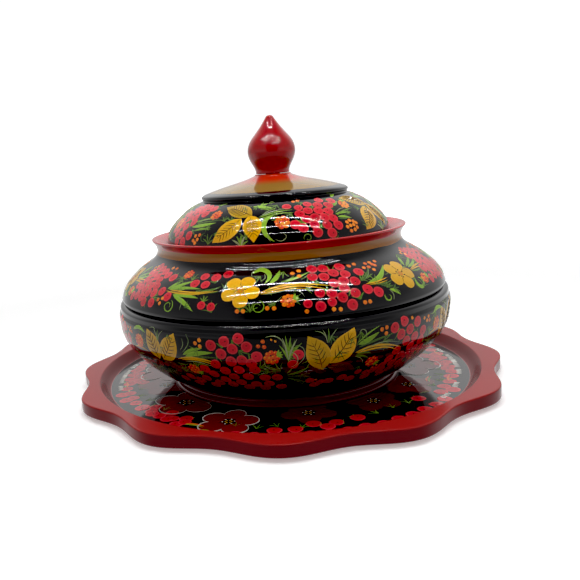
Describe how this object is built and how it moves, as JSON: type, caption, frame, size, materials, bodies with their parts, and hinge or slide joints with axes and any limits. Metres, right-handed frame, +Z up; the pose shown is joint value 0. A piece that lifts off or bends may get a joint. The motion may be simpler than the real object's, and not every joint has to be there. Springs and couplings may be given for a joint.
{
  "type": "lidded serving bowl on tray",
  "caption": "Turned wooden lidded bowl with a domed lid, onion knob and painted lacquer bands, standing on a wavy-edged round tray.",
  "frame": {"origin": "centre of the tray's flat underside", "axes": "+Z up along the turning axis, towards the knob; the front faces -Y and +X is to the viewer's right"},
  "size_m": [0.2998, 0.2998, 0.1856],
  "materials": {
    "tray_lacquer": "glossy red lacquer over limewood, with a painted black floor",
    "red_lacquer": "high-gloss red lacquer over limewood",
    "black_lacquer": "high-gloss black lacquer over limewood, painted with berries, leaves and flowers"
  },
  "bodies": {
    "tray": {"tray": "tray_lacquer"},
    "bowl": {"foot_ring": "red_lacquer", "bowl_lower": "black_lacquer", "bowl_upper": "black_lacquer"},
    "lid": {"lid": "black_lacquer", "knob": "red_lacquer"}
  },
  "joints": [
    {"name": "bowl_lift", "type": "slide", "parent": "tray", "child": "bowl", "axis": [0, 0, 1], "range_m": [0, 0.06]},
    {"name": "lid_lift", "type": "slide", "parent": "bowl", "child": "lid", "axis": [0, 0, 1], "range_m": [0, 0.07]}
  ]
}
